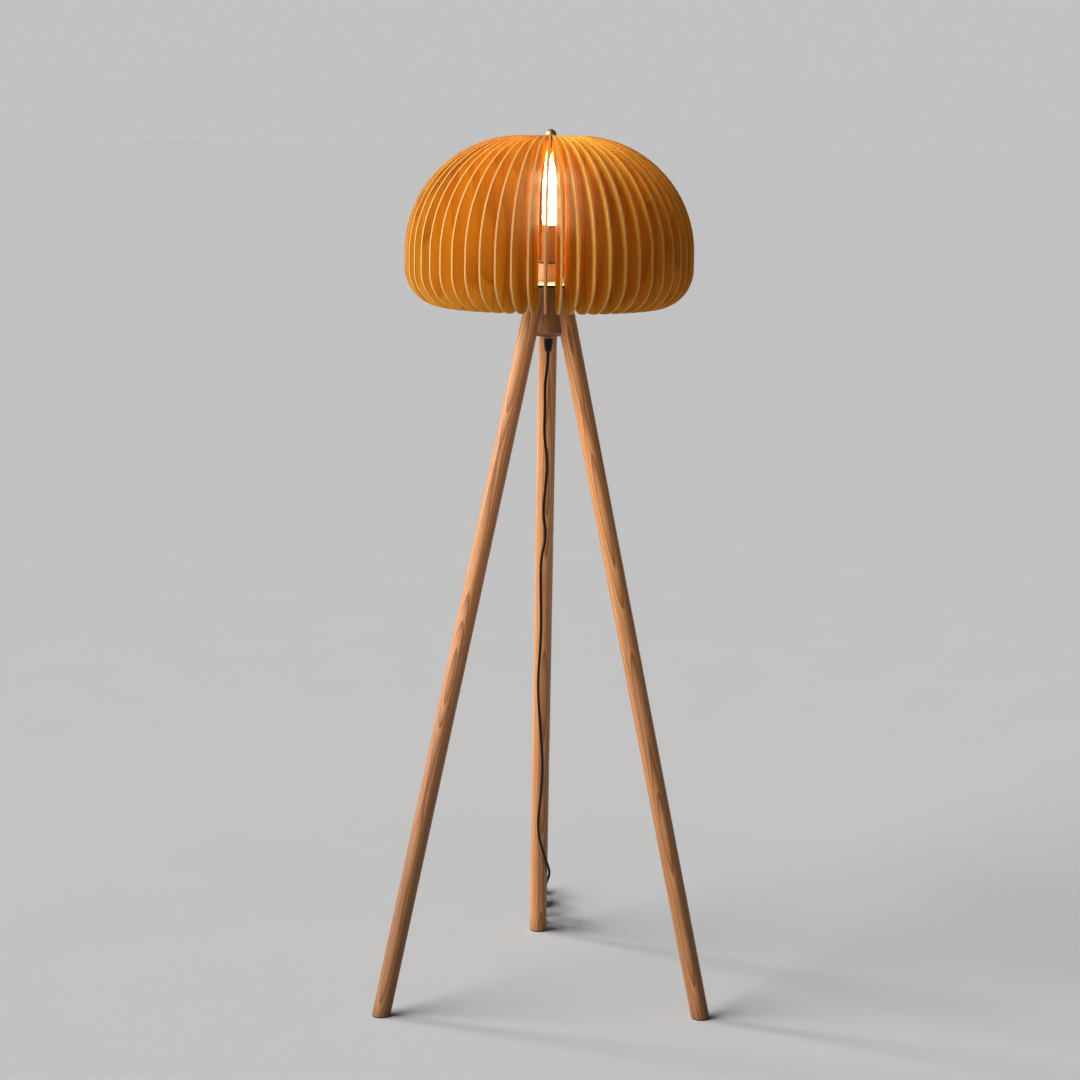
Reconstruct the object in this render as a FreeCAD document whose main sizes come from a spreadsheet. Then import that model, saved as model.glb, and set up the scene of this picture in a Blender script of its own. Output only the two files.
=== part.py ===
"""Tripod floor lamp: three turned legs, a shade of upright veneer fins, one candle lamp, and its cord."""

import FreeCAD, Part
import math
import os
import re

import Sketcher

# Driving dimensions, in millimetres unless the name says otherwise. Heights are above the floor.
SIZES = {
    # where the lamp's upright axis stands, so that the whole lamp is centred on the origin
    "axis_y": -44.5,
    # legs
    "leg_radius": 16,
    "foot_radius": 322.6,
    "leg_lean": 13.36,
    "leg_top": 1270,
    "pad_radius": 15.5,
    "pad_height": 2.5,
    # hub between the legs
    "hub_low": 1178,
    "recess_radius": 9.5,
    "recess_depth": 24,
    "hub_low_radius": 37,
    "hub_high_radius": 25,
    "hub_edge": 8,
    "groove_play": 0.15,
    "dowel_radius": 4,
    "dowel_height": 1215,
    "dowel_start": 9,
    "dowel_end": 42,
    # threaded tube up the middle, and what is on it
    "tube_radius": 4.4,
    "tube_bore": 3.1,
    "tube_low": 1162,
    "tube_high": 1316,
    "hole_play": 0.3,
    "fit_play": 0.05,
    "collar_radius": 8.4,
    "collar_height": 4,
    "grub_radius": 1.3,
    "grub_length": 3.6,
    "gland_radius": 8,
    "gland_tip_radius": 4,
    "gland_height": 24,
    # lower plate and its screws
    "plate_radius": 144,
    "plate_thickness": 4,
    "screw_radius": 2,
    "screw_length": 44,
    "screw_head_radius": 4,
    "screw_head_height": 2.2,
    "screw_place": 27,
    # block, ring and candle sleeve
    "block_radius": 19,
    "block_height": 29.5,
    "ring_radius": 19.5,
    "ring_height": 3.5,
    "nut_width": 14,
    "nut_height": 3,
    "sleeve_radius": 12.5,
    "sleeve_wall": 1,
    "sleeve_height": 63,
    "holder_radius": 10.9,
    "holder_height": 41,
    "holder_bore": 7.5,
    "holder_floor": 15,
    "shell_wall": 0.6,
    "shell_height": 23,
    "spring_radius": 3,
    "spring_height": 2.2,
    # lamp bulb
    "cap_radius": 6.8,
    "cap_height": 22,
    "tip_radius": 2.6,
    "tip_height": 1.8,
    "glass_radius": 13,
    "glass_neck": 8,
    "glass_straight": 72,
    "glass_height": 134,
    "glass_wall": 0.8,
    "strip_radius": 1.1,
    "strip_circle": 3.6,
    "strip_height": 74,
    "stem_radius": 1.4,
    # shade
    "fin_count": 56,
    "fins_in_group": 8,
    "fin_thickness": 3,
    "first_fin": 3.9,
    "shade_low": 1228,
    "shade_height": 294,
    "shade_radius": 249.8,
    "shoulder_radius": 199,
    "side_low": 68,
    "inner_foot_radius": 36,
    "inner_radius": 136,
    "inner_arch": 98,
    "inner_top": 270,
    "eye_radius": 32,
    "eye_top": 280,
    # top disc and finial
    "disc_radius": 38,
    "disc_low": 1500.5,
    "disc_thickness": 3.5,
    "slot_play": 0.3,
    "stud_radius": 2.5,
    "stud_low": 1490.5,
    "stud_high": 1519,
    "flange_low": 1494,
    "flange_high": 1498,
    "flange_radius": 21,
    "flange_neck_radius": 8,
    "ball_radius": 9.5,
    "ball_centre": 1523,
    "ball_neck_radius": 4.2,
    "ball_neck_low": 1511.5,
    "ball_hole_top": 1519.6,
    # cord, and the row of things behind the back leg
    "cord_diameter": 5,
    "hank_start": 296,
    "hank_length": 90,
    "hank_width": 20,
    "hank_height": 40,
    "hank_side": 1.5,
    "hank_end": 14,
    "tie_thickness": 1.3,
    "tie_width": 7,
    "tie_inset": 24,
    "row_side": -1,
    "switch_start": 410.5,
    "switch_length": 54,
    "switch_height": 30,
    "switch_half": 9,
    "switch_wall": 2,
    "switch_level": 15,
    "rocker_length": 19,
    "rocker_height": 12,
    "rocker_play": 0.5,
    "rocker_tilt": 9,
    "plug_start": 489.5,
    "plug_length": 34,
    "plug_width": 13.7,
    "plug_height": 35.3,
    "plug_tail_height": 20,
    "plug_level": 17.65,
    "pin_radius": 2,
    "pin_length": 19,
    "pin_spacing": 18.6,
}
LEG_TURNS = {"leg_left": 210, "leg_back": 90, "leg_right": 330}

# Where the cord runs from the gland, down between the legs and round the back one, to the hank.
MAIN_ROUTE = [
    (0, -44.5, 1150),
    (0, -44.5, 1128),
    (-5, -42.5, 1096),
    (-4, -38.5, 1052),
    (-5, -32.5, 1002),
    (1.5, -26.5, 958),
    (-0.5, -19.5, 914),
    (-5.5, -10.5, 864),
    (2, -1, 819),
    (-7.5, 9, 776),
    (-7, 23, 722),
    (-4.5, 40, 660),
    (-5.5, 57, 604),
    (-9, 77, 540),
    (-6, 97, 478),
    (-1, 117, 418),
    (3, 136, 362),
    (1, 155, 310),
    (-3, 173, 264),
    (-4, 189, 225),
    (3, 203.5, 189),
    (12.5, 219, 158),
    (21.5, 238, 133),
    (22, 256, 113),
    (17.5, 273, 94.5),
    (12.5, 285, 79),
    (6.8, 293.9, 67.2),
    (4, 298, 58.5),
    (3, 300, 49.8),
    (3, 300, 41.3),
]
# From the hank to the switch, and from the switch to the plug.
TAIL_ROUTE = [(-2.2, 386, 17), (-2.2, 394, 17), (-1, 402.5, 15), (-1, 410.5, 15)]
PLUG_ROUTE = [(-1, 464.5, 15), (-1, 472.5, 15), (-1, 481.5, 17.65), (-1, 489.5, 17.65)]
ARC_SHARE = 0.45  # how much of the shorter run an arc takes at each end

doc = FreeCAD.newDocument("floor_lamp")
sheet = doc.addObject("Spreadsheet::Sheet", "sizes")
parts = []  # the objects that are written, one file each


def fill_sheet():
    for row, (name, number) in enumerate(SIZES.items(), start=1):
        sheet.set(f"A{row}", name)
        sheet.set(f"B{row}", str(number))
        sheet.setAlias(f"B{row}", name)
    doc.recompute()


def full(expression):
    """The expression with each size's name pointing into the sheet."""
    return re.sub(r"\b[a-z]+(?:_[a-z]+)+\b", lambda word: "sizes." + word.group(), str(expression))


def value(expression):
    return float(sheet.evalExpression(full(expression)))


def bind(thing, **properties):
    for name, expression in properties.items():
        thing.setExpression(name.replace("__", "."), full(expression))


def stand(thing, height=0, side=0, forward="axis_y", turn=0):
    """Puts a sub-part at its height, on the lamp's axis unless told otherwise, turned about Z."""
    turning = FreeCAD.Rotation(FreeCAD.Vector(0, 0, 1), value(turn))
    thing.Placement = FreeCAD.Placement(FreeCAD.Vector(), turning)
    bind(thing, Placement__Base__x=side, Placement__Base__y=forward, Placement__Base__z=height)


def keep(thing, label):
    thing.Label = label
    parts.append(thing)
    return thing


def new_body(label, height=0, **where):
    body = doc.addObject("PartDesign::Body", label)
    body.AllowCompound = True
    stand(body, height, **where)
    return keep(body, label)


def new_sketch(body, plane, name):
    sketch = body.newObject("Sketcher::SketchObject", name)
    roles = {feature.Role: feature for feature in body.Origin.OriginFeatures}
    sketch.AttachmentSupport = (roles[plane], [""])
    sketch.MapMode = "FlatFace"
    return sketch


def pin_point(sketch, line, end, point):
    """Holds one end of a line at its two coordinates."""
    for kind, axis, coordinate in (("DistanceX", -2, point[0]), ("DistanceY", -1, point[1])):
        place = value(coordinate)
        if abs(place) < 1e-9:
            sketch.addConstraint(Sketcher.Constraint("PointOnObject", line, end, axis))
            continue
        number = sketch.addConstraint(Sketcher.Constraint(kind, -1, 1, line, end, place))
        sketch.setExpression(f"Constraints[{number}]", full(coordinate))


def arc_between(start, end, radius):
    """An arc that turns left for a positive radius and right for a negative one."""
    chord = end - start
    normal = FreeCAD.Vector(-chord.y, chord.x, 0).normalize()
    away = math.sqrt(max(radius * radius - chord.Length**2 / 4, 0))
    centre = (start + end) * 0.5 + normal * (away if radius > 0 else -away)
    first, last = (start, end) if radius > 0 else (end, start)
    angles = [math.atan2(p.y - centre.y, p.x - centre.x) for p in (first, last)]
    circle = Part.Circle(centre, FreeCAD.Vector(0, 0, 1), abs(radius))
    return Part.ArcOfCircle(circle, angles[0], angles[1])


def outline(sketch, points):
    """A closed outline: each point is (x, y), or (x, y, radius) where an arc leads on to the next."""
    corners = [FreeCAD.Vector(value(p[0]), value(p[1]), 0) for p in points]
    ends = []
    for i, point in enumerate(points):
        start, end = corners[i], corners[(i + 1) % len(points)]
        if len(point) == 2:
            ends.append((sketch.addGeometry(Part.LineSegment(start, end)), 1, 2))
            continue
        radius = value(point[2])
        line = sketch.addGeometry(arc_between(start, end, radius))
        number = sketch.addConstraint(Sketcher.Constraint("Radius", line, abs(radius)))
        sketch.setExpression(f"Constraints[{number}]", full(f"abs({point[2]})"))
        ends.append((line, 1, 2) if radius > 0 else (line, 2, 1))
    for i, point in enumerate(points):
        line, start, _ = ends[i]
        before, _, finish = ends[i - 1]
        sketch.addConstraint(Sketcher.Constraint("Coincident", before, finish, line, start))
        pin_point(sketch, line, start, point)


def circle_at(sketch, radius, x=0, y=0):
    place = FreeCAD.Vector(value(x), value(y), 0)
    line = sketch.addGeometry(Part.Circle(place, FreeCAD.Vector(0, 0, 1), value(radius)))
    number = sketch.addConstraint(Sketcher.Constraint("Radius", line, value(radius)))
    sketch.setExpression(f"Constraints[{number}]", full(radius))
    pin_point(sketch, line, 3, (x, y))


def turned(body, points, name="turned"):
    """Turns an outline of (radius, height) points about the body's upright axis."""
    sketch = new_sketch(body, "XZ_Plane", f"{body.Name}_{name}_outline")
    outline(sketch, points)
    solid = body.newObject("PartDesign::Revolution", f"{body.Name}_{name}")
    solid.Profile = sketch
    solid.ReferenceAxis = (sketch, ["V_Axis"])
    solid.Angle = 360
    return solid


def pad(body, sketch, length, symmetric=False, back=False):
    solid = body.newObject("PartDesign::Pad", f"{sketch.Name}_pad")
    solid.Profile = sketch
    solid.SideType = "Symmetric" if symmetric else "One side"
    solid.Reversed = back
    bind(solid, Length=length)
    return solid


def discs(body, height, radius, hole=0, x=0, y=0):
    """A round plate, or a ring where it has a hole, standing on the body's base."""
    sketch = new_sketch(body, "XY_Plane", f"{body.Name}_outline")
    circle_at(sketch, radius, x, y)
    if value(hole) > 0:
        circle_at(sketch, hole, x, y)
    return pad(body, sketch, height)


def repeat(body, features, count, angle):
    """Repeats features about the body's upright axis: count of them over the angle."""
    pattern = body.newObject("PartDesign::PolarPattern", f"{body.Name}_pattern")
    pattern.Originals = features
    roles = {feature.Role: feature for feature in body.Origin.OriginFeatures}
    pattern.Axis = (roles["Z_Axis"], [""])
    bind(pattern, Occurrences=count, Angle=angle)
    body.Tip = pattern
    return pattern


def hexagon(body, width, height, hole):
    """A hexagonal nut; its width is measured across the flats."""
    sketch = new_sketch(body, "XY_Plane", f"{body.Name}_outline")
    half = f"{width}/2"
    across = f"{width}/2*tan(30 deg)"
    corner = f"{width}/2/cos(30 deg)"
    outline(
        sketch,
        [
            (across, half),
            (f"-{across}", half),
            (f"-{corner}", 0),
            (f"-{across}", f"-{half}"),
            (across, f"-{half}"),
            (corner, 0),
        ],
    )
    circle_at(sketch, hole)
    return pad(body, sketch, height)


def rod(name, radius, length, base, rotation):
    """A plain cylinder that a boolean uses: its base point and the turn that lays it along its line."""
    solid = doc.addObject("Part::Cylinder", name)
    bind(solid, Radius=radius, Height=length)
    solid.Placement = FreeCAD.Placement(base, rotation)
    return solid


def leg_rod(name, radius, turn):
    """The leaning line of one leg, longer than the leg at both ends."""
    spare = 40
    lean = math.radians(value("leg_lean"))
    spin = FreeCAD.Rotation(FreeCAD.Vector(0, 0, 1), turn)
    tilt = FreeCAD.Rotation(FreeCAD.Vector(0, 1, 0), -value("leg_lean"))
    base = FreeCAD.Vector(value("foot_radius") + spare * math.tan(lean), 0, -spare)
    return rod(name, radius, f"leg_top + {4 * spare}", spin.multVec(base), spin.multiply(tilt))


def dowel_rod(name, play, turn):
    """A dowel's line, level and pointing out from the lamp's axis."""
    spin = FreeCAD.Rotation(FreeCAD.Vector(0, 0, 1), turn)
    base = FreeCAD.Vector(value("dowel_start") - play, 0, value("dowel_height"))
    level = FreeCAD.Rotation(FreeCAD.Vector(0, 1, 0), 90)
    length = f"dowel_end - dowel_start + {2 * play}"
    radius = f"dowel_radius + {'fit_play' if play else 0}"
    return rod(name, radius, length, spin.multVec(base), spin.multiply(level))


def together(kind, name, shapes):
    solid = doc.addObject(kind, name)
    setattr(solid, "Links" if kind == "Part::Compound" else "Shapes", shapes)
    return solid


def cut(name, base, tools):
    solid = doc.addObject("Part::Cut", name)
    solid.Base = base
    solid.Tool = together("Part::MultiFuse", f"{name}_tools", tools) if len(tools) > 1 else tools[0]
    return solid


def legs():
    for label, turn in LEG_TURNS.items():
        slab = doc.addObject("Part::Box", f"{label}_slab")
        bind(slab, Length="4*foot_radius", Width="4*foot_radius", Height="leg_top - pad_height")
        bind(slab, Placement__Base__x="-2*foot_radius", Placement__Base__y="-2*foot_radius")
        bind(slab, Placement__Base__z="pad_height")
        trimmed = doc.addObject("Part::Common", f"{label}_trimmed")
        trimmed.Base, trimmed.Tool = leg_rod(f"{label}_rod", "leg_radius", 0), slab
        screw_place = FreeCAD.Vector(value("screw_place"), 0, value("leg_top - screw_length"))
        screw_hole = rod(f"{label}_screw_hole", "screw_radius + fit_play", "2*screw_length",
                         screw_place, FreeCAD.Rotation())
        holes = [screw_hole, dowel_rod(f"{label}_dowel_hole", 0.5, 0)]
        leg = cut(label, trimmed, holes)
        stand(leg, turn=turn)
        keep(leg, label)


def foot_pads():
    body = new_body("foot_pads", turn=90)
    pad_feature = discs(body, "pad_height", "pad_radius", x="foot_radius")
    repeat(body, [pad_feature], 3, 360)


def leg_screws():
    body = new_body("leg_screws", "leg_top + plate_thickness", turn=90)
    head = new_sketch(body, "XY_Plane", "screw_head")
    circle_at(head, "screw_head_radius", "screw_place")
    head_pad = pad(body, head, "screw_head_height")
    shank = new_sketch(body, "XY_Plane", "screw_shank")
    circle_at(shank, "screw_radius", "screw_place")
    shank_pad = pad(body, shank, "screw_length", back=True)
    repeat(body, [head_pad, shank_pad], 3, 360)


def hub():
    blank = doc.addObject("PartDesign::Body", "hub_blank")
    turned(
        blank,
        [
            ("tube_radius + hole_play", "hub_low"),
            ("hub_low_radius - 2*hub_edge", "hub_low"),
            ("hub_low_radius", "hub_low + hub_edge"),
            ("hub_high_radius", "leg_top"),
            ("recess_radius", "leg_top"),
            ("recess_radius", "leg_top - recess_depth"),
            ("tube_radius + hole_play", "leg_top - recess_depth"),
        ],
    )
    tools = []
    for label, turn in LEG_TURNS.items():
        tools.append(leg_rod(f"{label}_groove", "leg_radius + groove_play", turn))
        tools.append(dowel_rod(f"{label}_hub_hole", 0.5, turn))
    block = cut("hub", blank, tools)
    stand(block)
    keep(block, "hub")


def hub_dowels():
    rods = [dowel_rod(f"{label}_dowel", 0, turn) for label, turn in LEG_TURNS.items()]
    dowels = together("Part::Compound", "hub_dowels", rods)
    stand(dowels)
    keep(dowels, "hub_dowels")


def lower_plate():
    body = new_body("lower_plate", "leg_top", turn=90)
    sketch = new_sketch(body, "XY_Plane", "plate_outline")
    circle_at(sketch, "plate_radius")
    circle_at(sketch, "tube_radius + hole_play")
    plate = pad(body, sketch, "plate_thickness")
    hole = new_sketch(body, "XY_Plane", "plate_hole")
    circle_at(hole, "screw_radius + hole_play", "screw_place")
    pocket = body.newObject("PartDesign::Pocket", "plate_holes")
    pocket.Profile = hole
    pocket.SideType = "Symmetric"
    bind(pocket, Length="4*plate_thickness")
    repeat(body, [pocket], 3, 360)
    return plate


def threaded_tube():
    body = new_body("threaded_tube", "tube_low")
    discs(body, "tube_high - tube_low", "tube_radius", "tube_bore")


def collar():
    body = new_body("gland_collar", "hub_low - collar_height")
    ring = discs(body, "collar_height", "collar_radius", "tube_radius + fit_play")
    hole = new_sketch(body, "XZ_Plane", "grub_hole")
    circle_at(hole, "grub_radius + fit_play", 0, "collar_height/2")
    pocket = body.newObject("PartDesign::Pocket", "grub_pocket")
    pocket.Profile = hole
    pocket.SideType = "One side"
    pocket.Reversed = True
    bind(pocket, Length="2*collar_radius")
    screw = new_body("collar_grub", "hub_low - collar_height/2", forward="axis_y - tube_radius - fit_play")
    thread = new_sketch(screw, "XZ_Plane", "grub_outline")
    circle_at(thread, "grub_radius")
    pad(screw, thread, "grub_length")
    return ring


def cord_gland():
    body = new_body("cord_gland", "hub_low - collar_height - gland_height")
    turned(
        body,
        [
            ("cord_diameter/2 + fit_play", 0),
            ("gland_tip_radius", 0),
            ("gland_tip_radius + 1.6", 2),
            ("gland_radius - 0.4", "gland_height - 8"),
            ("gland_radius", "gland_height - 2"),
            ("gland_radius", "gland_height"),
            ("tube_radius + fit_play", "gland_height"),
            ("tube_radius + fit_play", "gland_height/2"),
            ("cord_diameter/2 + fit_play", "gland_height/2"),
        ],
    )


def feed_cord():
    low = "hub_low - collar_height - gland_height"
    body = new_body("feed_cord", low)
    discs(body, f"tube_high + 6 - ({low})", "cord_diameter/2")


def candle_stack():
    """The block on the plate, its black ring, the nut, the sleeve and the lamp holder inside."""
    plate_top = "leg_top + plate_thickness"
    ring_low = f"{plate_top} + block_height"
    nut_low = f"{ring_low} + ring_height"
    holder_low = f"{nut_low} + nut_height"
    discs(new_body("lamp_block", plate_top), "block_height", "block_radius", "tube_radius + hole_play")
    discs(new_body("block_ring", ring_low), "ring_height", "ring_radius", "tube_radius + hole_play")
    hexagon(new_body("tube_nut", nut_low), "nut_width", "nut_height", "tube_radius + fit_play")
    inner = "sleeve_radius - sleeve_wall"
    turned(
        new_body("candle_sleeve", nut_low),
        [(inner, 0), ("sleeve_radius", 0), ("sleeve_radius", "sleeve_height"), (inner, "sleeve_height")],
    )
    turned(
        new_body("lamp_holder", holder_low),
        [
            ("tube_radius + fit_play", 0),
            ("holder_radius", 0),
            ("holder_radius", "holder_height"),
            ("holder_bore", "holder_height"),
            ("holder_bore", "holder_floor"),
            ("spring_radius - 1", "holder_floor"),
            ("spring_radius - 1", "holder_floor - 2"),
            ("holder_bore", "holder_floor - 2"),
            ("holder_bore", 4),
            ("tube_radius + fit_play", 4),
        ],
    )
    shell = new_body("holder_shell", f"{holder_low} + holder_floor + 3")
    discs(shell, "shell_height", "holder_bore - fit_play", "holder_bore - fit_play - shell_wall")
    spring = new_body("holder_contact", f"{holder_low} + holder_floor")
    discs(spring, "spring_height", "spring_radius")
    return holder_low


def bulb(holder_low):
    tip_low = f"{holder_low} + holder_floor + spring_height + 0.2"
    cap_low = f"{tip_low} + tip_height"
    glass_low = f"{cap_low} + cap_height"
    discs(new_body("bulb_tip", tip_low), "tip_height", "tip_radius")
    discs(new_body("bulb_cap", cap_low), "cap_height", "cap_radius")
    wall = "glass_wall"
    turned(
        new_body("bulb_glass", glass_low),
        [
            ("glass_neck - glass_wall", 0),
            ("glass_neck", 0),
            ("glass_neck", 10),
            ("glass_radius", 28),
            ("glass_radius", "glass_straight + 18", "140"),
            (3, "glass_height - 4"),
            (0, "glass_height"),
            (0, "glass_height - 2*glass_wall"),
            (2, "glass_height - 5", "-139"),
            (f"glass_radius - {wall}", "glass_straight + 18"),
            (f"glass_radius - {wall}", 28),
            (f"glass_neck - {wall}", 10),
        ],
    )
    strips = new_body("bulb_strips", f"{glass_low} + 18")
    column = discs(strips, "strip_height", "strip_radius", x="strip_circle")
    repeat(strips, [column], 4, 360)
    stem = new_body("bulb_stem", glass_low)
    discs(stem, "strip_height + 18", "stem_radius")


def shade():
    groups = SIZES["fin_count"] // SIZES["fins_in_group"]
    centre = "shade_radius - shoulder_radius"
    plate_slot = "leg_top - shade_low"
    disc_slot = "disc_low - shade_low"
    fin = [
        ("shade_radius - side_low", 0, "side_low"),
        ("shade_radius", "side_low"),
        ("shade_radius", "shade_height - shoulder_radius", "shoulder_radius"),
        (centre, "shade_height"),
        ("eye_radius", "eye_top"),
        ("eye_radius", f"{disc_slot} + disc_thickness + slot_play"),
        ("disc_radius + slot_play", f"{disc_slot} + disc_thickness + slot_play"),
        ("disc_radius + slot_play", disc_slot),
        ("eye_radius", disc_slot),
        ("eye_radius", "inner_top"),
        ("inner_radius - inner_arch", "inner_top", "-inner_arch"),
        ("inner_radius", "inner_top - inner_arch"),
        ("inner_radius", f"{plate_slot} + plate_thickness"),
        ("plate_radius + slot_play", f"{plate_slot} + plate_thickness"),
        ("plate_radius + slot_play", f"{plate_slot} - slot_play"),
        ("inner_radius", f"{plate_slot} - slot_play"),
        ("inner_radius", "inner_foot_radius", "inner_foot_radius"),
        ("inner_radius + inner_foot_radius", 0),
    ]
    for group in range(groups):
        start = f"first_fin - 90 + {group}*fins_in_group*360/fin_count"
        body = new_body(f"shade_fins_{group + 1}", "shade_low", turn=start)
        sketch = new_sketch(body, "XZ_Plane", f"fin_outline_{group + 1}")
        outline(sketch, fin)
        leaf = pad(body, sketch, "fin_thickness", symmetric=True)
        repeat(body, [leaf], "fins_in_group", "(fins_in_group - 1)*360/fin_count")


def top_disc():
    discs(new_body("top_disc", "disc_low"), "disc_thickness", "disc_radius", "stud_radius + fit_play")
    discs(new_body("finial_stud", "stud_low"), "stud_high - stud_low", "stud_radius")
    turned(
        new_body("stud_nut"),
        [
            ("stud_radius + fit_play", "flange_low"),
            ("flange_radius", "flange_low"),
            ("flange_radius", "flange_high"),
            ("flange_neck_radius", "flange_high"),
            ("flange_neck_radius", "disc_low"),
            ("stud_radius + fit_play", "disc_low"),
        ],
    )


def finial():
    neck_meets = "sqrt(ball_radius*ball_radius - ball_neck_radius*ball_neck_radius)"
    turned(
        new_body("finial"),
        [
            ("stud_radius + fit_play", "ball_neck_low"),
            ("ball_neck_radius", "ball_neck_low"),
            ("ball_neck_radius", f"ball_centre - {neck_meets}", "ball_radius"),
            (0, "ball_centre + ball_radius"),
            (0, "ball_hole_top"),
            ("stud_radius + fit_play", "ball_hole_top"),
        ],
    )


def rounded_path(points):
    """Straight runs joined by arcs that touch them, each as large as its two runs allow."""
    points = [FreeCAD.Vector(*p) for p in points]
    edges, radii, at = [], [], points[0]
    for before, corner, after in zip(points, points[1:], points[2:]):
        back, on = (before - corner), (after - corner)
        shorter = min(back.Length, on.Length)
        back.normalize()
        on.normalize()
        turn = math.pi - back.getAngle(on)
        radii.append(ARC_SHARE * shorter / math.tan(turn / 2))
        reach = ARC_SHARE * shorter
        start, end = corner + back * reach, corner + on * reach
        inward = (back + on).normalize()
        middle = corner + inward * (radii[-1] / math.cos(turn / 2) - radii[-1])
        edges.append(Part.LineSegment(at, start).toShape())
        edges.append(Part.Arc(start, middle, end).toShape())
        at = end
    edges.append(Part.LineSegment(at, points[-1]).toShape())
    return Part.Wire(edges), radii


def cord_tube(label, points):
    """A length of cord along its route."""
    path, radii = rounded_path(points)
    radius = value("cord_diameter") / 2
    direction = FreeCAD.Vector(*points[1]) - FreeCAD.Vector(*points[0])
    ring = Part.Wire(Part.Circle(FreeCAD.Vector(*points[0]), direction, radius).toShape())
    solid = path.makePipeShell([ring], True, False)
    expected = math.pi * radius**2 * path.Length
    print(label, "length", round(path.Length, 1), "volume share", round(solid.Volume / expected, 4))
    print(label, "radii", [round(r, 1) for r in radii])
    tube = doc.addObject("Part::Feature", label)
    tube.Shape = solid
    tube.Placement = FreeCAD.Placement()
    return keep(tube, label)


def hank():
    """The put-away turns as one solid: a slab with rounded ends, and two ties round it."""
    body = new_body("cord_hank", "tie_thickness", side="hank_side", forward="hank_start")
    sketch = new_sketch(body, "YZ_Plane", "hank_outline")
    outline(
        sketch,
        [
            ("hank_end", 0),
            ("hank_length - hank_end", 0, "hank_end"),
            ("hank_length", "hank_end"),
            ("hank_length", "hank_height - hank_end", "hank_end"),
            ("hank_length - hank_end", "hank_height"),
            (0, "hank_height"),
            (0, "hank_end", "hank_end"),
        ],
    )
    pad(body, sketch, "hank_width", symmetric=True)
    ties = new_body("cord_ties", side="hank_side", forward="hank_start + tie_inset")
    half, top = "hank_width/2", "hank_height + tie_thickness"
    for number, along in enumerate((0, "hank_length - 2*tie_inset")):
        frame = new_sketch(ties, "XZ_Plane", f"tie_outline_{number}")
        frame.AttachmentOffset = FreeCAD.Placement(FreeCAD.Vector(0, 0, -value(along)), FreeCAD.Rotation())
        outer, high = f"{half} + tie_thickness", f"{top} + tie_thickness"
        outline(frame, [(f"-({outer})", 0), (outer, 0), (outer, high), (f"-({outer})", high)])
        low = "tie_thickness"
        outline(frame, [(f"-{half}", low), (half, low), (half, top), (f"-{half}", top)])
        pad(ties, frame, "tie_width", symmetric=True)


def rectangle(x_low, x_high, y_low, y_high):
    return [(x_low, y_low), (x_high, y_low), (x_high, y_high), (x_low, y_high)]


def switch():
    """An in-line switch on its edge: two half shells, a rocker between them and its two contacts."""
    middle = "switch_start + switch_length/2"
    half_length, half_height = "switch_length/2", "switch_height/2"
    corner = 5
    outer = [
        (f"-({half_length})", f"-({half_height} - {corner})", corner),
        (f"-({half_length} - {corner})", f"-({half_height})"),
        (f"{half_length} - {corner}", f"-({half_height})", corner),
        (half_length, f"-({half_height} - {corner})"),
        (half_length, f"{half_height} - {corner}", corner),
        (f"{half_length} - {corner}", half_height),
        (f"-({half_length} - {corner})", half_height, corner),
        (f"-({half_length})", f"{half_height} - {corner}"),
    ]
    inside = rectangle(
        f"-({half_length} - 2*switch_wall)", f"{half_length} - 2*switch_wall",
        f"-({half_height} - switch_wall)", f"{half_height} - switch_wall",
    )
    for label, back in (("switch_base", True), ("switch_cover", False)):
        body = new_body(label, "switch_level", side="row_side", forward=middle)
        shell = new_sketch(body, "YZ_Plane", f"{label}_outline")
        outline(shell, outer)
        pad(body, shell, "switch_half", back=back)
        cavity = new_sketch(body, "YZ_Plane", f"{label}_inside")
        outline(cavity, inside)
        pocket = body.newObject("PartDesign::Pocket", f"{label}_cavity")
        pocket.Profile = cavity
        pocket.SideType = "One side"
        pocket.Reversed = not back
        bind(pocket, Length="switch_half - switch_wall")
        if back:
            continue
        window = new_sketch(body, "YZ_Plane", "rocker_window")
        wide, tall = "(rocker_length/2 + rocker_play)", "(rocker_height/2 + rocker_play)"
        outline(window, rectangle(f"-{wide}", wide, f"-{tall}", tall))
        opening = body.newObject("PartDesign::Pocket", "rocker_opening")
        opening.Profile = window
        opening.SideType = "One side"
        opening.Reversed = True
        bind(opening, Length="2*switch_half")
    rocker = new_body("switch_rocker", "switch_level", side="row_side + switch_half - 2", forward=middle)
    side = new_sketch(rocker, "XY_Plane", "rocker_outline")
    reach = "rocker_length/2"
    tilt = "rocker_length/2*tan(rocker_tilt*1 deg)"
    outline(
        side,
        [
            (f"3.4 - {tilt}", f"-({reach} - 0.6)"),
            (2.4, 0),
            (f"3.4 + {tilt}", f"{reach} - 0.6"),
            (f"-2.5 + {tilt}", f"{reach} - 0.6"),
            (-5.5, 0),
            (f"-2.5 - {tilt}", f"-({reach} - 0.6)"),
        ],
    )
    pad(rocker, side, "rocker_height", symmetric=True)
    contacts = new_body("switch_contacts", "switch_level", side="row_side - switch_half + switch_wall",
                        forward=middle)
    for number, sign in enumerate(("-", "")):
        strip = new_sketch(contacts, "YZ_Plane", f"contact_outline_{number}")
        near, far = f"{sign}18", f"{sign}7"
        outline(strip, rectangle(*sorted((near, far), key=float), -5, 5))
        pad(contacts, strip, 2.5)


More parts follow.
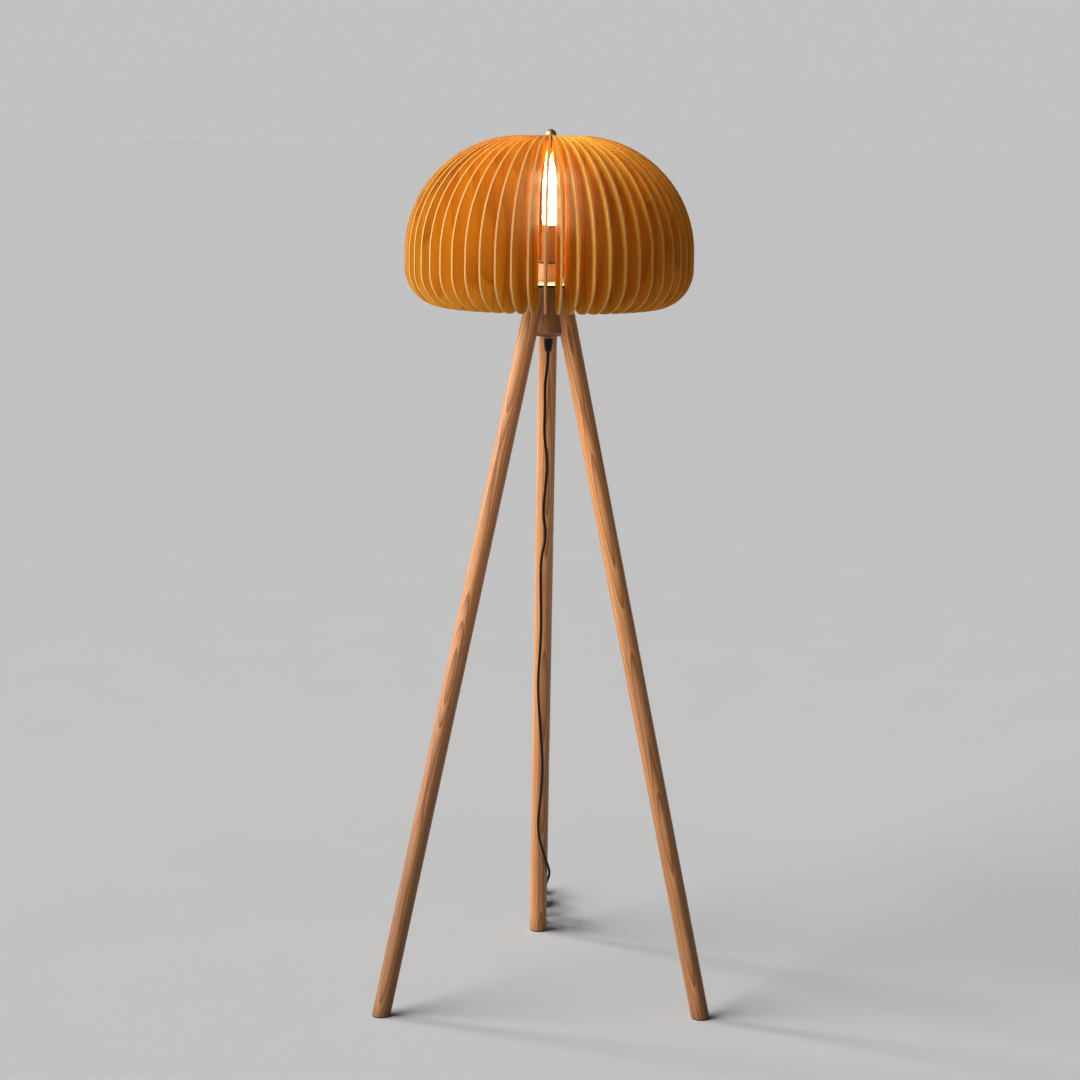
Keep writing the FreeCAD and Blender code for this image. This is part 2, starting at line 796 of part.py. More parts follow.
def plug():
    """A two-pin plug on its edge, with its pins pointing away from the lamp."""
    body = new_body("plug_body", "plug_level", side="row_side", forward="plug_start")
    sketch = new_sketch(body, "YZ_Plane", "plug_outline")
    tail, front = "plug_tail_height/2", "plug_height/2"
    outline(
        sketch,
        [
            (0, "-5"),
            (3, "-5"),
            (5, f"-{tail}"),
            (20, f"-({front} - 3)"),
            (26, f"-{front}"),
            ("plug_length", f"-{front}"),
            ("plug_length", front),
            (26, front),
            (20, f"{front} - 3"),
            (5, tail),
            (3, "5"),
            (0, "5"),
        ],
    )
    pad(body, sketch, "plug_width", symmetric=True)
    pins = new_body("plug_pins", "plug_level", side="row_side", forward="plug_start + plug_length")
    ends = new_sketch(pins, "XZ_Plane", "pin_outline")
    circle_at(ends, "pin_radius", 0, "pin_spacing/2")
    circle_at(ends, "pin_radius", 0, "-pin_spacing/2")
    pad(pins, ends, "pin_length", back=True)


def check_and_write():
    doc.recompute()
    for thing in doc.Objects:
        if {"Invalid", "Error"} & set(thing.State):
            raise RuntimeError(f"{thing.Name} failed: {thing.State}")
    os.makedirs("parts", exist_ok=True)
    for thing in parts:
        shape = thing.Shape
        if shape.isNull() or not shape.isValid() or not shape.Solids:
            raise RuntimeError(f"{thing.Label} has no valid shape")
        shape.exportStep(f"parts/{thing.Label}.step")
        box = shape.BoundBox
        print(
            f"{thing.Label:16s} solids {len(shape.Solids)}  volume {shape.Volume:10.1f}"
            f"  x {box.XMin:8.2f} {box.XMax:8.2f}  y {box.YMin:8.2f} {box.YMax:8.2f}"
            f"  z {box.ZMin:8.2f} {box.ZMax:8.2f}"
        )


fill_sheet()
legs()
foot_pads()
leg_screws()
hub()
hub_dowels()
lower_plate()
threaded_tube()
collar()
cord_gland()
feed_cord()
bulb(candle_stack())
shade()
top_disc()
finial()
cord_tube("cord_main", MAIN_ROUTE)
hank()
cord_tube("cord_tail", TAIL_ROUTE)
cord_tube("cord_plug_lead", PLUG_ROUTE)
switch()
plug()
check_and_write()
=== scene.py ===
import math

import bmesh
import bpy
from mathutils import Matrix, Vector


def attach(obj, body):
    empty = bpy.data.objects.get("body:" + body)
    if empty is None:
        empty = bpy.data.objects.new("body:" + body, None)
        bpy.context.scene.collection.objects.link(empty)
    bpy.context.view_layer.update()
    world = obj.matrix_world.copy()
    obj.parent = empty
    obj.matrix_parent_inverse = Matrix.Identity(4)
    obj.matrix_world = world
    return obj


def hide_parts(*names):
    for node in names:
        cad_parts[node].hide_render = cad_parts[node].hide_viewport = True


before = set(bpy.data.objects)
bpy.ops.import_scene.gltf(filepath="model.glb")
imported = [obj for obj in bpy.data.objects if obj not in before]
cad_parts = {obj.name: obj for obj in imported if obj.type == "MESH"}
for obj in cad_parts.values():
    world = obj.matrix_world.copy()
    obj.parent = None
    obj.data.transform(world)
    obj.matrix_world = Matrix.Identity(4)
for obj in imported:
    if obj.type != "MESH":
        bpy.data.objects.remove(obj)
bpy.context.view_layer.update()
print("frame loaded:", len(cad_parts), "pieces")

axisY = -0.0445  # the lamp's own axis stands at x = 0 and this y

cameraSetup = {
    "place": (-0.0665, -4.392, 1.53),
    "heading": 0.0130,  # from +Y towards +X, in radians
    "tilt": 0.1622,  # below the horizon
    "roll": 0.0128,
    "lens": 83.43,
}


def addCamera(setup):
    camera = bpy.data.objects.new("lampCamera", bpy.data.cameras.new("lampCamera"))
    bpy.context.scene.collection.objects.link(camera)
    heading, tilt, roll = setup["heading"], setup["tilt"], setup["roll"]
    ahead = Vector(
        (
            math.sin(heading) * math.cos(tilt),
            math.cos(heading) * math.cos(tilt),
            -math.sin(tilt),
        )
    )
    level = Vector((math.cos(heading), -math.sin(heading), 0))
    above = level.cross(ahead)
    side = level * math.cos(roll) + above * math.sin(roll)
    up = above * math.cos(roll) - level * math.sin(roll)
    camera.matrix_world = Matrix.LocRotScale(
        Vector(setup["place"]), Matrix((side, up, -ahead)).transposed(), None
    )
    camera.data.sensor_width = 36
    camera.data.lens = setup["lens"]
    camera.data.clip_start, camera.data.clip_end = 0.05, 900
    bpy.context.scene.camera = camera


addCamera(cameraSetup)
print("camera placed")

cordSetup = {
    "length": 2.03,
    "diameter": 0.005,
    "exit": (0, axisY, 1.150),
    # down from the gland, wandering along the back leg, then round its right side
    "route": [
        (0, -0.0445, 1.150),
        (0, -0.0445, 1.128),
        (-0.005, -0.0425, 1.096),
        (-0.004, -0.0385, 1.052),
        (-0.005, -0.0325, 1.002),
        (0.0015, -0.0265, 0.958),
        (-0.0005, -0.0195, 0.914),
        (-0.0055, -0.0105, 0.864),
        (0.002, -0.001, 0.819),
        (-0.0075, 0.009, 0.776),
        (-0.007, 0.023, 0.722),
        (-0.0045, 0.040, 0.660),
        (-0.0055, 0.057, 0.604),
        (-0.009, 0.077, 0.540),
        (-0.006, 0.097, 0.478),
        (-0.001, 0.117, 0.418),
        (0.003, 0.136, 0.362),
        (0.001, 0.155, 0.310),
        (-0.003, 0.173, 0.264),
        (-0.004, 0.189, 0.225),
        (0.003, 0.2035, 0.189),
        (0.012, 0.2195, 0.1575),
        (0.0185, 0.2365, 0.1365),
        (0.0205, 0.2525, 0.119),
        (0.0165, 0.2685, 0.102),
        (0.0135, 0.280, 0.088),
        (0.0112, 0.2895, 0.072),
        (0.0103, 0.2955, 0.0595),
        (0.0101, 0.2980, 0.0498),
        (0.0100, 0.2980, 0.0410),
        (0.0096, 0.2977, 0.0310),
    ],
    # the put-away turns, wound on edge behind the back leg
    "turns": {
        "near": 0.316,
        "far": 0.366,
        "level": 0.0213,
        "bend": 0.0184,
        "run": 0.0175,
        "side": 0.009,
        "pitch": 0.005,
        "count": 3,
    },
    # out of the turns, through the switch and into the plug
    "tail": [
        (-0.0073, 0.341, 0.0045),
        (-0.0080, 0.358, 0.0075),
        (-0.0083, 0.372, 0.0115),
        (-0.0072, 0.385, 0.0145),
        (-0.0040, 0.3945, 0.0153),
        (-0.0013, 0.4025, 0.015),
        (-0.001, 0.4105, 0.015),
        (-0.001, 0.4375, 0.015),
        (-0.001, 0.4645, 0.015),
        (-0.001, 0.4725, 0.015),
        (-0.001, 0.4815, 0.01765),
        (-0.001, 0.4895, 0.01765),
    ],
}


def turnPoints(turns):
    # one turn: down at the near end, along the bottom, up at the far end, back along the top
    stops = [(turns["near"], angle) for angle in (180, 216, 252)]
    stops += [(None, -1)]
    stops += [(turns["far"], angle) for angle in (288, 324, 0, 36, 72)]
    stops += [(None, 1)]
    stops += [(turns["near"], angle) for angle in (108, 144)]
    middle = (turns["near"] + turns["far"]) / 2
    points = []
    for step in range(turns["count"] * len(stops) + 3):
        centre, turn = stops[step % len(stops)]
        x = turns["side"] - turns["pitch"] * step / len(stops)
        if centre is None:
            points.append((x, middle, turns["level"] + turn * turns["run"]))
        else:
            angle = math.radians(turn)
            points.append(
                (
                    x,
                    centre + turns["bend"] * math.cos(angle),
                    turns["level"] + turns["bend"] * math.sin(angle),
                )
            )
    return points


def addCord(setup):
    curve = bpy.data.curves.new("feedCord", "CURVE")
    curve.dimensions = "3D"
    curve.bevel_depth = 1.0  # the points carry the radius
    curve.bevel_resolution = 5
    curve.resolution_u = 10
    curve.use_fill_caps = True
    points = setup["route"] + turnPoints(setup["turns"]) + setup["tail"]
    spline = curve.splines.new("NURBS")
    spline.points.add(len(points) - 1)
    for point, place in zip(spline.points, points):
        point.co = (*place, 1)
        point.radius = setup["diameter"] / 2
    spline.order_u = 3
    spline.use_endpoint_u = True
    cord = bpy.data.objects.new("feedCord", curve)
    bpy.context.scene.collection.objects.link(cord)
    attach(cord, "lamp")
    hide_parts("cord_main", "cord_hank", "cord_tail", "cord_plug_lead")
    return cord


cord = addCord(cordSetup)
print("cord laid")


def addNode(tree, kind, feeds=None, **settings):
    node = tree.nodes.new("ShaderNode" + kind)
    for key, value in settings.items():
        setattr(node, key, value)
    for key, value in (feeds or {}).items():
        if isinstance(value, bpy.types.NodeSocket):
            tree.links.new(value, node.inputs[key])
        else:
            node.inputs[key].default_value = value
    return node


def calc(tree, how, first, second=0.0, third=0.0):
    node = addNode(tree, "Math", {0: first, 1: second, 2: third}, operation=how)
    return node.outputs[0]


def spread(tree, place, amounts):
    node = addNode(tree, "VectorMath", {0: place, 1: amounts}, operation="MULTIPLY")
    return node.outputs[0]


def noiseAt(tree, place, scale=1.0, detail=2.0, rough=0.5, twist=0.0):
    feeds = {
        "Vector": place,
        "Scale": scale,
        "Detail": detail,
        "Roughness": rough,
        "Distortion": twist,
    }
    return addNode(tree, "TexNoise", feeds).outputs["Fac"]


def ramp(tree, share, stops):
    node = addNode(tree, "ValToRGB", {"Fac": share})
    elements = node.color_ramp.elements
    elements.remove(elements[1])
    elements[0].position = stops[0][0]
    elements[0].color = (*stops[0][1], 1)
    for at, colour in stops[1:]:
        elements.new(at).color = (*colour, 1)
    return node.outputs["Color"]


def grey(value):
    return (value, value, value)


def mixColours(tree, share, first, second, how="MIX"):
    feeds = {0: share, 6: first, 7: second}
    return addNode(tree, "Mix", feeds, data_type="RGBA", blend_type=how).outputs[2]


def multiply(tree, first, second):
    return mixColours(tree, 1.0, first, second, "MULTIPLY")


def remap(tree, value, low, high, newLow, newHigh):
    feeds = {
        "Value": value,
        "From Min": low,
        "From Max": high,
        "To Min": newLow,
        "To Max": newHigh,
    }
    return addNode(tree, "MapRange", feeds).outputs["Result"]


def ownPlace(tree):
    return addNode(tree, "TexCoord").outputs["Object"]


def startFinish(name):
    finish = bpy.data.materials.new(name)
    finish.use_nodes = True
    tree = finish.node_tree
    tree.nodes.clear()
    shader = addNode(tree, "BsdfPrincipled")
    output = addNode(tree, "OutputMaterial")
    tree.links.new(shader.outputs[0], output.inputs["Surface"])
    return finish, tree, shader


def dress(tree, shader, colour, height=None, strength=0.3, deep=0.0005, rough=None):
    tree.links.new(colour, shader.inputs["Base Color"])
    if height is not None:
        feeds = {"Strength": strength, "Distance": deep, "Height": height}
        bump = addNode(tree, "Bump", feeds)
        tree.links.new(bump.outputs[0], shader.inputs["Normal"])
    if rough is not None:
        tree.links.new(rough, shader.inputs["Roughness"])


def paint(finish, *names):
    for name in names:
        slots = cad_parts[name].material_slots
        for slot in slots:
            slot.link = "OBJECT"
            slot.material = finish
        if not slots:
            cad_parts[name].data.materials.append(finish)


# how fine each part of the figure is, per metre across, through and along the piece
grainSetup = {
    "ruffle": (60, 60, 5),
    "fibre": (650, 650, 8),
    "streak": (150, 150, 2.2),
    "tone": (14, 14, 1.4),
    "pore": (1300, 1300, 45),
    "poreEdge": (0.60, 0.70),
    "ringStops": (0.0, 0.5, 0.85, 0.97),
    "streakRough": 0.18,
}


# year rings, fibres and pores of a turned or sawn piece; place is across, through, along
def woodLook(tree, place, wood, grain=grainSetup):
    sway = noiseAt(tree, spread(tree, place, wood["swayScale"]), 1, 1.5)
    x, y, along = addNode(tree, "SeparateXYZ", {0: place}).outputs
    offHeart = calc(tree, "MULTIPLY_ADD", sway, wood["sway"], wood["heart"])
    fromHeart = addNode(
        tree, "CombineXYZ", {0: x, 1: calc(tree, "ADD", y, offHeart), 2: 0.0}
    )
    reach = addNode(
        tree, "VectorMath", {0: fromHeart.outputs[0]}, operation="LENGTH"
    ).outputs["Value"]
    ruffle = noiseAt(tree, spread(tree, place, grain["ruffle"]), 1, 2)
    reach = calc(tree, "MULTIPLY_ADD", ruffle, wood["ruffle"], reach)
    ring = calc(tree, "FRACT", calc(tree, "DIVIDE", reach, wood["ring"]))
    tones = [wood[part] for part in ("early", "mid", "late", "early")]
    colour = ramp(tree, ring, list(zip(grain["ringStops"], tones)))
    fibre = noiseAt(tree, spread(tree, place, grain["fibre"]), 1, 3, 0.6)
    streak = noiseAt(tree, spread(tree, place, grain["streak"]), 1, 2)
    tone = noiseAt(tree, spread(tree, place, grain["tone"]), 1, 2)
    pore = noiseAt(tree, spread(tree, place, grain["pore"]), 1, 1)
    pore = remap(tree, pore, *grain["poreEdge"], 0.0, 1.0)
    for value, span, low, high in (
        (fibre, (0.3, 0.7), *wood["fibre"]),
        (streak, (0.3, 0.7), *wood["streak"]),
        (tone, (0.3, 0.7), *wood["tone"]),
        (pore, (0.0, 1.0), 1.0, wood["pore"]),
    ):
        share = remap(tree, value, *span, 0.0, 1.0)
        shade = ramp(tree, share, [(0, grey(low)), (1, grey(high))])
        colour = multiply(tree, colour, shade)
    height = calc(tree, "SUBTRACT", calc(tree, "MULTIPLY", fibre, 0.5), pore)
    rough = calc(tree, "MULTIPLY_ADD", streak, grain["streakRough"], wood["rough"])
    return colour, height, rough


legSetup = {
    "foot": 0.3226,  # how far out a leg's centre line meets the floor
    "lean": 0.2375,  # how far it comes in for each metre up
    # bearing of the leg, way to the tree's heart, and where along the plank it was cut
    "legs": {
        "leg_left": (210, 20, 0.0),
        "leg_back": (90, -15, 3.37),
        "leg_right": (330, 0, 6.91),
    },
    "shaded": (0.15, 1.12),  # darkest below the first height, untouched above the second
    "footEdgeShade": (0.002, 0.035, 0.74),  # painted shade at the foot: between these heights it lightens from this tone
    "bump": (0.35, 0.0004),
    "shine": 0.26,
    "coat": (0.08, 0.38),  # weight and roughness of the oil
    "footShade": {"leg_left": 0.44, "leg_back": 0.74, "leg_right": 0.52},
    "wood": {
        "early": (0.79, 0.368, 0.143),
        "mid": (0.67, 0.280, 0.096),
        "late": (0.40, 0.138, 0.039),
        "ring": 0.0030,
        "heart": 0.070,
        "sway": 0.040,
        "swayScale": (4, 4, 2.4),
        "ruffle": 0.0008,
        "fibre": (0.84, 1.08),
        "streak": (0.76, 1.14),
        "tone": (0.82, 1.12),
        "pore": 0.72,
        "rough": 0.36,
    },
}


# place measured from one leg's own centre line, turned so that y points away from the tree's heart
def legPlace(tree, setup, bearing, heartTurn, shift):
    x, y, z = addNode(tree, "SeparateXYZ", {0: ownPlace(tree)}).outputs
    out = calc(tree, "MULTIPLY_ADD", z, -setup["lean"], setup["foot"])
    legX = calc(tree, "MULTIPLY", out, math.cos(math.radians(bearing)))
    legY = calc(tree, "MULTIPLY_ADD", out, math.sin(math.radians(bearing)), axisY)
    offLeg = {
        0: calc(tree, "SUBTRACT", x, legX),
        1: calc(tree, "SUBTRACT", y, legY),
        2: calc(tree, "ADD", z, shift),
    }
    place = addNode(tree, "CombineXYZ", offLeg).outputs[0]
    feeds = {"Vector": place, "Angle": math.radians(heartTurn)}
    return addNode(tree, "VectorRotate", feeds, rotation_type="Z_AXIS").outputs[0]


def oilWood(shader, setup):
    weight, rough = setup["coat"]
    shader.inputs["Specular IOR Level"].default_value = setup["shine"]
    shader.inputs["Coat Weight"].default_value = weight
    shader.inputs["Coat Roughness"].default_value = rough


def legFinish(name, setup):
    finish, tree, shader = startFinish("oiledWood_" + name)
    place = legPlace(tree, setup, *setup["legs"][name])
    colour, height, rough = woodLook(tree, place, setup["wood"])
    # darker towards the feet: it stands in for shading that the lights do not give
    z = addNode(tree, "SeparateXYZ", {0: ownPlace(tree)}).outputs[2]
    footEdgeShade = remap(tree, z, *setup["footEdgeShade"], 1.0)
    shaded = remap(tree, z, *setup["shaded"], setup["footShade"][name], 1.0)
    tone = ramp(tree, calc(tree, "MULTIPLY", footEdgeShade, shaded), [(0, grey(0)), (1, grey(1))])
    colour = multiply(tree, colour, tone)
    dress(tree, shader, colour, height, *setup["bump"], rough)
    oilWood(shader, setup)
    return finish


for name in legSetup["legs"]:
    paint(legFinish(name, legSetup), name)

hubSetup = {
    "turn": 82,  # degrees, so that straight grain shows at the front
    "lowEdgeShade": (1.1785, 1.187, 0.30),  # painted shade: a dark rim between these heights, and its tone
    "bump": (0.35, 0.0004),
    "shine": 0.25,
    "coat": (0.05, 0.35),
    "wood": {
        "early": (0.46, 0.195, 0.068),
        "mid": (0.38, 0.150, 0.050),
        "late": (0.25, 0.088, 0.027),
        "ring": 0.0034,
        "heart": 0.16,
        "sway": 0.012,
        "swayScale": (9, 9, 1.2),
        "ruffle": 0.0008,
        "fibre": (0.84, 1.08),
        "streak": (0.82, 1.10),
        "tone": (0.88, 1.08),
        "pore": 0.7,
        "rough": 0.4,
    },
}


def turnedWood(name, setup):
    finish, tree, shader = startFinish(name)
    feeds = {"Vector": ownPlace(tree), "Angle": math.radians(setup["turn"])}
    place = addNode(tree, "VectorRotate", feeds, rotation_type="Z_AXIS").outputs[0]
    colour, height, rough = woodLook(tree, place, setup["wood"])
    # painted shade: the wood is darkened along its low edge, between the set heights
    z = addNode(tree, "SeparateXYZ", {0: place}).outputs[2]
    rimShade = remap(tree, z, *setup["lowEdgeShade"], 1.0)
    rimShade = ramp(tree, rimShade, [(0, grey(0)), (1, grey(1))])
    colour = multiply(tree, colour, rimShade)
    dress(tree, shader, colour, height, *setup["bump"], rough)
    oilWood(shader, setup)
    return finish


paint(turnedWood("darkHubWood", hubSetup), "hub", "hub_dowels")

blockSetup = {
    **hubSetup,
    "turn": 60,
    # painted shade in a thin band where the block stands on the plate
    "lowEdgeShade": (1.274, 1.2752, 0.6),
    "wood": {
        **legSetup["wood"],
        "early": (0.60, 0.40, 0.24),
        "mid": (0.52, 0.33, 0.19),
        "late": (0.36, 0.20, 0.10),
        "ring": 0.0026,
        "heart": 0.12,
    },
}
paint(turnedWood("lampBlockWood", blockSetup), "lamp_block")
print("solid wood done")

finSetup = {
    "count": 56,
    "first": -86.1,  # bearing of the first fin, degrees
    "glue": 0.0005,  # glue lines this far from the middle of the ply
    "core": (0.62, 0.33, 0.115),
    "ply": (0.70, 0.40, 0.16),
    "glueColour": (0.36, 0.20, 0.09),
    "glueHalf": 0.00008,
    "broadFrom": 0.6,  # how squarely a broad face looks round the lamp
    "sheetStep": 0.71,  # how far along the log the next fin was cut
    "sheetTone": (0.86, 1.06),
    "edgeGrain": (500, 1, 500),
    "edgeTone": (0.86, 1.05),
    "bump": (0.2, 0.0003),
    "shine": 0.0015,
    "deeper": (-0.06, 0.16),  # the tone deepens between these places across the lamp
    "deepTone": (0.76, 0.60, 0.50),
    "wood": {
        "early": (0.86, 0.460, 0.055),
        "mid": (0.82, 0.415, 0.046),
        "late": (0.70, 0.315, 0.030),
        "ring": 0.011,
        "heart": 0.30,
        "sway": 0.10,
        "swayScale": (3, 1, 2.2),
        "ruffle": 0.004,
        "fibre": (0.93, 1.04),
        "streak": (0.90, 1.05),
        "tone": (0.88, 1.08),
        "pore": 0.9,
        "rough": 0.56,
    },
}


def finFinish(setup):
    finish, tree, shader = startFinish("finVeneer")
    x, y, z = addNode(tree, "SeparateXYZ", {0: ownPlace(tree)}).outputs
    y = calc(tree, "SUBTRACT", y, axisY)
    turn = calc(tree, "ARCTAN2", y, x)
    gap = math.radians(360 / setup["count"])
    first = math.radians(setup["first"])
    steps = calc(tree, "DIVIDE", calc(tree, "SUBTRACT", turn, first), gap)
    number = calc(tree, "ROUND", steps)
    bearing = calc(tree, "MULTIPLY_ADD", number, gap, first)
    flat = addNode(tree, "CombineXYZ", {0: x, 1: y, 2: 0.0}).outputs[0]
    out = addNode(tree, "VectorMath", {0: flat}, operation="LENGTH").outputs["Value"]
    aside = calc(tree, "SINE", calc(tree, "SUBTRACT", turn, bearing))
    offMiddle = calc(tree, "MULTIPLY", out, aside)
    # broad faces look round the lamp, edges look out, in, up or down
    roundX = calc(tree, "MULTIPLY", calc(tree, "SINE", bearing), -1.0)
    roundY = calc(tree, "COSINE", bearing)
    way = addNode(tree, "CombineXYZ", {0: roundX, 1: roundY, 2: 0.0}).outputs[0]
    feeds = {0: addNode(tree, "TexCoord").outputs["Normal"], 1: way}
    facing = addNode(tree, "VectorMath", feeds, operation="DOT_PRODUCT").outputs["Value"]
    squarely = calc(tree, "ABSOLUTE", facing)
    broad = calc(tree, "GREATER_THAN", squarely, setup["broadFrom"])
    along = calc(tree, "MULTIPLY", number, setup["sheetStep"])
    place = addNode(tree, "CombineXYZ", {0: out, 1: along, 2: z}).outputs[0]
    face, height, rough = woodLook(tree, place, setup["wood"])
    # each fin was cut from its own sheet
    sheet = addNode(tree, "TexWhiteNoise", {"W": number}, noise_dimensions="1D")
    low, high = setup["sheetTone"]
    shade = ramp(tree, sheet.outputs["Value"], [(0, grey(low)), (1, grey(high))])
    face = multiply(tree, face, shade)
    # deeper on the right half: it stands in for shading that the lights do not give
    tone = remap(tree, x, *setup["deeper"], 0.0, 1.0)
    tone = ramp(tree, tone, [(0, grey(1)), (1, setup["deepTone"])])
    face = multiply(tree, face, tone)
    offMiddle = calc(tree, "ABSOLUTE", offMiddle)
    offGlue = calc(tree, "ABSOLUTE", calc(tree, "SUBTRACT", offMiddle, setup["glue"]))
    layer = calc(tree, "LESS_THAN", offGlue, setup["glueHalf"])
    inner = calc(tree, "LESS_THAN", offMiddle, setup["glue"])
    edge = mixColours(tree, inner, (*setup["ply"], 1), (*setup["core"], 1))
    edgeGrain = noiseAt(tree, spread(tree, place, setup["edgeGrain"]), 1, 2)
    low, high = setup["edgeTone"]
    edgeShade = ramp(tree, edgeGrain, [(0.3, grey(low)), (0.7, grey(high))])
    edge = multiply(tree, edge, edgeShade)
    edge = mixColours(tree, layer, edge, (*setup["glueColour"], 1))
    colour = mixColours(tree, broad, edge, face)
    dress(tree, shader, colour, height, *setup["bump"], rough)
    shader.inputs["Specular IOR Level"].default_value = setup["shine"]
    return finish


paint(finFinish(finSetup), *["shade_fins_%d" % number for number in range(1, 8)])
print("shade done")


# small parts: grit is how fine the surface is, then its bump's strength and depth
partFinishes = {
    "blackSteel": {
        "colour": (0.011, 0.011, 0.012),
        "vary": 0.25,
        "rough": (0.34, 0.48),
        "metal": 0.0,
        "grit": (2600, 0.25, 0.00012),
        "names": ["lower_plate", "top_disc", "block_ring", "finial_stud", "stud_nut"],
    },
    "satinBrass": {
        "colour": (0.60, 0.38, 0.15),
        "vary": 0.10,
        "rough": (0.36, 0.48),
        "metal": 1.0,
        "grit": (900, 0.08, 0.00005),
        "names": ["finial", "gland_collar", "tube_nut"],
    },
    "zincSteel": {
        "colour": (0.52, 0.53, 0.55),
        "vary": 0.15,
        "rough": (0.28, 0.42),
        "metal": 1.0,
        "grit": (1200, 0.10, 0.00006),
        "names": ["leg_screws", "threaded_tube"],
    },
    "blackenedScrew": {
        "colour": (0.05, 0.045, 0.042),
        "vary": 0.2,
        "rough": (0.35, 0.5),
        "metal": 1.0,
        "grit": (1500, 0.15, 0.00008),
        "names": ["collar_grub"],
    },
    "mouldedBlack": {
        "colour": (0.0065, 0.0062, 0.0062),
        "vary": 0.25,
        "rough": (0.46, 0.60),
        "metal": 0.0,
        "grit": (1800, 0.18, 0.0001),
        "shine": 0.3,
        "names": ["cord_gland", "switch_base", "switch_cover", "plug_body"],
    },
    "rockerBlack": {
        "colour": (0.02, 0.02, 0.021),
        "vary": 0.15,
        "rough": (0.26, 0.36),
        "metal": 0.0,
        "grit": (900, 0.08, 0.00006),
        "names": ["switch_rocker"],
    },
    "cordSheath": {
        "colour": (0.004, 0.0038, 0.0038),
        "vary": 0.3,
        "rough": (0.52, 0.66),
        "metal": 0.0,
        "grit": (700, 0.15, 0.0001),
        "shine": 0.25,
        "names": ["feed_cord"],
    },
    "feltPad": {
        "colour": (0.055, 0.045, 0.038),
        "vary": 0.45,
        "rough": (0.9, 1.0),
        "metal": 0.0,
        "grit": (2400, 0.9, 0.0004),
        "names": ["foot_pads"],
    },
    "candleCard": {
        "colour": (0.15, 0.062, 0.018),
        "vary": 0.16,
        "rough": (0.5, 0.62),
        "metal": 0.0,
        "grit": (1400, 0.25, 0.0001),
        "names": ["candle_sleeve"],
    },
    "holderResin": {
        "colour": (0.035, 0.026, 0.02),
        "vary": 0.2,
        "rough": (0.3, 0.42),
        "metal": 0.0,
        "grit": (1200, 0.1, 0.00006),
        "names": ["lamp_holder"],
    },
    "contactBrass": {
        "colour": (0.72, 0.52, 0.25),
        "vary": 0.15,
        "rough": (0.25, 0.4),
        "metal": 1.0,
        "grit": (1400, 0.1, 0.00005),
        "names": ["holder_shell", "holder_contact", "switch_contacts", "plug_pins"],
    },
    "tieWeb": {
        "colour": (0.016, 0.016, 0.018),
        "vary": 0.5,
        "rough": (0.75, 0.95),
        "metal": 0.0,
        "grit": (2200, 0.9, 0.0004),
        "names": ["cord_ties"],
    },
}


def partFinish(name, look):
    finish, tree, shader = startFinish(name)
    place = ownPlace(tree)
    patch = noiseAt(tree, place, 45, 3, 0.6)
    grit = noiseAt(tree, place, look["grit"][0], 2)
    share = calc(tree, "MULTIPLY_ADD", grit, 0.4, calc(tree, "MULTIPLY", patch, 0.6))
    dull = [part * (1 - look["vary"]) for part in look["colour"]]
    lively = [part * (1 + look["vary"]) for part in look["colour"]]
    colour = ramp(tree, share, [(0.3, dull), (0.7, lively)])
    rough = remap(tree, patch, 0.3, 0.7, *look["rough"])
    dress(tree, shader, colour, grit, look["grit"][1], look["grit"][2], rough)
    shader.inputs["Metallic"].default_value = look["metal"]
    shader.inputs["Specular IOR Level"].default_value = look.get("shine", 0.5)
    return finish


for name, look in partFinishes.items():
    finish = partFinish(name, look)
    paint(finish, *look["names"])
    if name == "cordSheath":
        cord.data.materials.append(finish)
print("small parts done")

bulbSetup = {
    "glow": (1.0, 0.80, 0.50),
    "glassGlow": 3.2,
    "stripGlow": 30.0,
    "light": (1.0, 0.76, 0.38),
    "power": 9.5,
    "radius": 0.015,
    "tipFade": (1.443, 1.482, 1.0, 0.25),  # from and to these heights, from and to this glow
    "capFade": (1.352, 1.366, 0.3, 1.0),
    "hazeSpan": (0.93, 1.07),
    "glassTint": (1, 0.97, 0.92),
    "glassRough": 0.06,
    "glassCover": 0.28,
    "stripTint": (0.9, 0.7, 0.25),
    "stripRough": 0.5,
    "beads": 2100,  # radians per metre of strip
    "dimBead": 0.55,
    "stemTints": ((0.80, 0.82, 0.80), (0.93, 0.94, 0.92)),
    "stemRough": 0.12,
    "stemClear": 0.4,
    "capTints": ((0.62, 0.61, 0.58), (0.80, 0.79, 0.76)),
    "capRough": (0.2, 0.36),
    "capPitch": 0.0025,
    "capBump": (0.6, 0.0006),
    "heights": (1.372, 1.408, 1.446),
}


def bulbGlass(setup):
    finish, tree, shader = startFinish("bulbGlass")
    place = ownPlace(tree)
    haze = noiseAt(tree, place, 60, 2)
    shader.inputs["Base Color"].default_value = (*setup["glassTint"], 1)
    shader.inputs["Roughness"].default_value = setup["glassRough"]
    shader.inputs["Emission Color"].default_value = (*setup["glow"], 1)
    z = addNode(tree, "SeparateXYZ", {0: place}).outputs[2]
    high = remap(tree, z, *setup["tipFade"])
    low = remap(tree, z, *setup["capFade"])
    glow = calc(tree, "MULTIPLY", calc(tree, "MULTIPLY", high, low), setup["glassGlow"])
    haze = remap(tree, haze, 0.3, 0.7, *setup["hazeSpan"])
    glow = calc(tree, "MULTIPLY", glow, haze)
    tree.links.new(glow, shader.inputs["Emission Strength"])
    shader.inputs["Alpha"].default_value = setup["glassCover"]
    return finish


